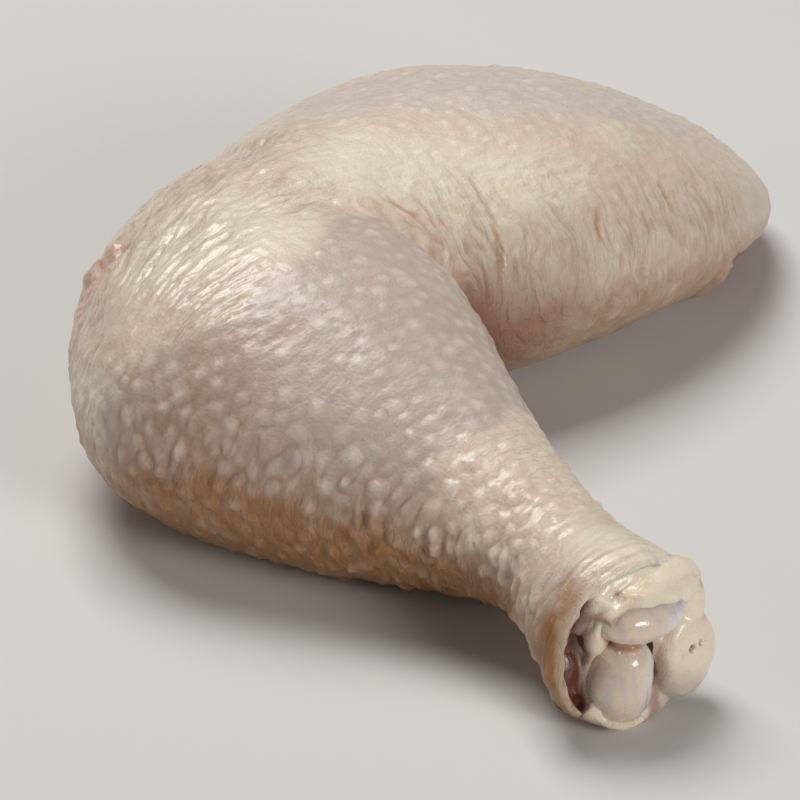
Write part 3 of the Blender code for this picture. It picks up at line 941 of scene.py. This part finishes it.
tissue = merged_copy("ankle_tissue", "tissue")
carve(tissue, egg(*LEFT_HOLLOW))
collar = [behind_edge(math.radians(turn), 0.0019, 0.0015) for turn in range(-62, 236, 17)]
sheath = [at_ankle(*place) for place in (
    (-0.0014, -0.0062, 0.0104), (-0.0020, -0.0078, 0.0070), (-0.0026, -0.0080, 0.0038),
)]
sheath += [seen_edge(LOWER_CONDYLE, math.radians(turn), 0.0003, 0.0009) for turn in range(165, 330, 15)]
tendon = [at_ankle(*place) for place in (
    (-0.0028, -0.0074, 0.0108), (-0.0012, -0.0062, 0.0096), (0.0004, -0.0046, 0.0082),
    (0.0012, -0.0034, 0.0070), (0.0012, -0.0026, 0.0056),
)]
hood_rim = [at_ankle(*place) for place in (
    (0.0000, -0.0050, 0.0122), (0.0018, -0.0010, 0.0108), (0.0028, 0.0030, 0.0098),
    (0.0030, 0.0070, 0.0092), (0.0024, 0.0102, 0.0078),
)]
grow(tissue, [
    egg(*CHEEK),
    egg(*HOOD),
    egg(*CHEEK_TOP),
    egg(*HOOD_END),
    egg(*HOLLOW_FLOOR),
    ball(seen_edge(LOWER_CONDYLE, KNOB_TURN, -0.0002, 0.0012), KNOB_RADII),
    strand(collar, COLLAR_RADIUS, 0.2),
    strand(sheath, SHEATH_RADIUS, 0.3),
    strand(tendon, TENDON_RADIUS),
    strand(hood_rim, HOOD_RIM_RADIUS),
], TISSUE_GRAIN, 14)
spots = spots_of(tissue)
normals = normals_of(tissue)
out_there, right_there, up_there = from_ankle(spots)
fibres = lumps(np.column_stack((out_there / 0.004, right_there / 0.0014, up_there / 0.0040)), 61)
height = 0.00016 * lumps(spots / 0.0022, 62) + 0.00008 * fibres
pits = np.zeros(len(spots))
for pit, size in (((0.0041, 0.0080, -0.0021), 0.00105), ((0.0040, 0.0099, -0.0019), 0.00080)):
    from_pit = np.linalg.norm(spots - at_ankle(*pit), axis=1)
    pits = np.maximum(pits, 1 - smooth_step(from_pit / size, 0.3, 1.0))
height -= PIT_DEPTH * pits
bulge = smooth_step(right_there, 0.0035, 0.0060) * np.maximum(out_there - CHEEK_FACE, 0)
spots = spots + normals * height[:, None] - 0.55 * bulge[:, None] * ANKLE_OUT
spots[:, 2] = np.maximum(spots[:, 2], solid_low.z)
move_to(tissue, spots)
# Painted shade, near black red, deep in the hollow on the joint's left, over the tissue's own dark red
gap = smooth_step(right_there, -0.0070, -0.0092) * smooth_step(out_there, -0.0012, -0.0040)
# Where shade is painted: in a groove beside the condyle and under the hood's lower edge
groove = smooth_step(np.abs(right_there - 0.0022), 0.0018, 0.0004) * smooth_step(up_there, 0.0030, -0.0005)
under_hood = smooth_step(np.abs(up_there - 0.0082), 0.0014, 0.0002) * smooth_step(out_there, 0.0026, 0.0012)
note(tissue, "gap", np.clip(gap, 0, 1))
# Painted shade in the cheek's pits, in the groove and under the hood
note(tissue, "tissue_shade", np.clip(1.2 * pits + 0.6 * groove + 0.7 * under_hood, 0, 1))
lilac = smooth_step(up_there + 0.5 * right_there, 0.0000, -0.0060) * smooth_step(right_there, 0, 0.003)
note(tissue, "lilac", lilac)
thin_out(tissue, TISSUE_TRIANGLES)

FAT_BODY_TONE = (0.82, 0.68, 0.50)
FAT_PALE_TONE = (0.85, 0.75, 0.62)
GAP_SHADE_TONE = (0.125, 0.034, 0.014)
TISSUE_SHADE_TONE = (0.30, 0.13, 0.07)
LILAC_TONE = (0.50, 0.40, 0.36)
TISSUE_FINE_DEPTH = 0.00008
cream, shader = wet_material(
    "cream_tissue", roughness=0.36, coat=0.60, coat_roughness=0.16, scatter_share=0.35)
patches, grain = clouds(cream, patch_scale=420, grain_scale=2400)
tone = blend(cream, patches, FAT_BODY_TONE, FAT_PALE_TONE)
tone = tint(cream, tone, "lilac", LILAC_TONE, 0.6)
# Painted shade in pits, groove and under the hood
tone = tint(cream, tone, "tissue_shade", TISSUE_SHADE_TONE)
# Painted shade deep in the gap
tone = tint(cream, tone, "gap", GAP_SHADE_TONE)
connect(cream, shader.inputs["Base Color"], tone)
connect(cream, shader.inputs["Roughness"], reckon(cream, "MULTIPLY_ADD", patches, 0.2, 0.26))
connect(cream, shader.inputs["Normal"], bump(cream, grain, TISSUE_FINE_DEPTH))
finish_piece(tissue, cream, "ankle_tissue")


# Joint. The shank bone ends in two smooth condyles of wet cartilage, lilac grey, and cream on their left.
# The lower one is round and the upper one a flat lobe, with a groove between them.
JOINT_TRIANGLES = 40000
FURROW_DEPTH = 0.00016
joint = egg(*LOWER_CONDYLE)
joint.name = "condyles"
bpy.ops.object.transform_apply()
others = [egg(*form) for form in (UPPER_CONDYLE, CONDYLE_MIDDLE, CONDYLE_NECK)]
grow(joint, others, TISSUE_GRAIN, 12)
spots = spots_of(joint)
normals = normals_of(joint)
out_there, right_there, up_there = from_ankle(spots)
height = 0.00012 * lumps(spots / 0.0032, 71) + 0.00003 * lumps(spots / 0.0012, 72)
furrow = smooth_step(np.abs(right_there + 0.0026), 0.0010, 0) * smooth_step(up_there, 0.001, -0.004)
height -= FURROW_DEPTH * furrow
move_to(joint, spots + normals * height[:, None])
veins = streaks(right_there, up_there, out_there, 0.0011, 0.0060, 73)
note(joint, "veins", smooth_step(veins, -0.1, 0.6))
note(joint, "waist", smooth_step(np.abs(up_there - 0.0024), 0.0008, 0.0001))
note(joint, "cream_side", smooth_step(right_there - 0.3 * up_there, 0.0005, -0.0040))
thin_out(joint, JOINT_TRIANGLES)

CARTILAGE_TONE = (0.68, 0.605, 0.585)
CARTILAGE_WARM_TONE = (0.72, 0.57, 0.42)
CARTILAGE_PALE_TONE = (0.77, 0.72, 0.70)
CARTILAGE_VEIN_TONE = (0.56, 0.48, 0.50)
WAIST_TONE = (0.42, 0.22, 0.15)
JOINT_FINE_DEPTH = 0.00004
cartilage, shader = wet_material(
    "wet_cartilage", roughness=0.24, coat=0.85, coat_roughness=0.07, scatter_share=0.35)
patches, grain = clouds(cartilage, patch_scale=330, grain_scale=1800)
tone = blend(cartilage, patches, CARTILAGE_TONE, CARTILAGE_PALE_TONE)
tone = tint(cartilage, tone, "cream_side", CARTILAGE_WARM_TONE, 0.8)
tone = tint(cartilage, tone, "veins", CARTILAGE_VEIN_TONE, 0.6)
tone = tint(cartilage, tone, "waist", WAIST_TONE)
connect(cartilage, shader.inputs["Base Color"], tone)
connect(cartilage, shader.inputs["Roughness"], reckon(cartilage, "MULTIPLY_ADD", patches, 0.12, 0.20))
connect(cartilage, shader.inputs["Normal"], bump(cartilage, grain, JOINT_FINE_DEPTH))
finish_piece(joint, cartilage, "shank_joint")


# Thigh flesh. The cut at the hip end bares dark red muscle in coarse bundles, with threads of fat between
# them and a rim of fat under the skin. It is meshed finely over its solid and raised bundle by bundle.
FLESH_GRAIN = 0.00045
FLESH_TRIANGLES = 60000
meat = even_copy("thigh_meat", "thigh_flesh", FLESH_GRAIN)
melt(meat, 14)
spots = spots_of(meat)
normals = normals_of(meat)
bundles = lumps(spots / 0.0045 + 0.35 * lumps(spots / 0.006, 81)[:, None], 82)
threads = lumps(spots / 0.0016, 83)
height = 0.00055 * folded(bundles) + 0.00012 * threads
spots = spots + normals * height[:, None]
spots[:, 2] = np.maximum(spots[:, 2], solid_low.z)
move_to(meat, spots)
note(meat, "seams", smooth_step(np.abs(bundles), 0.20, 0.02))
past_cut, over_cut = from_cut(spots)
along_rim = smooth_step(past_cut + 0.0030 * bundles, 0.0080, 0.0030)
under_skin = smooth_step(over_cut + 0.0008 * bundles, -0.0026, -0.0012)
note(meat, "fat_edge", np.maximum(along_rim, under_skin))
thin_out(meat, FLESH_TRIANGLES)

FLESH_TONE = (0.46, 0.135, 0.105)
FLESH_DARK_TONE = (0.34, 0.075, 0.06)
SEAM_TONE = (0.70, 0.46, 0.36)
FAT_EDGE_TONE = (0.78, 0.655, 0.50)
FLESH_FINE_DEPTH = 0.0001
flesh, shader = wet_material(
    "red_flesh", roughness=0.34, coat=0.60, coat_roughness=0.15, scatter_share=0.30)
patches, grain = clouds(flesh, patch_scale=260, grain_scale=1500)
tone = blend(flesh, patches, FLESH_TONE, FLESH_DARK_TONE)
tone = tint(flesh, tone, "seams", SEAM_TONE, 0.7)
tone = tint(flesh, tone, "fat_edge", FAT_EDGE_TONE)
connect(flesh, shader.inputs["Base Color"], tone)
connect(flesh, shader.inputs["Roughness"], reckon(flesh, "MULTIPLY_ADD", patches, 0.2, 0.24))
connect(flesh, shader.inputs["Normal"], bump(flesh, grain, FLESH_FINE_DEPTH))
finish_piece(meat, flesh, "thigh_meat")
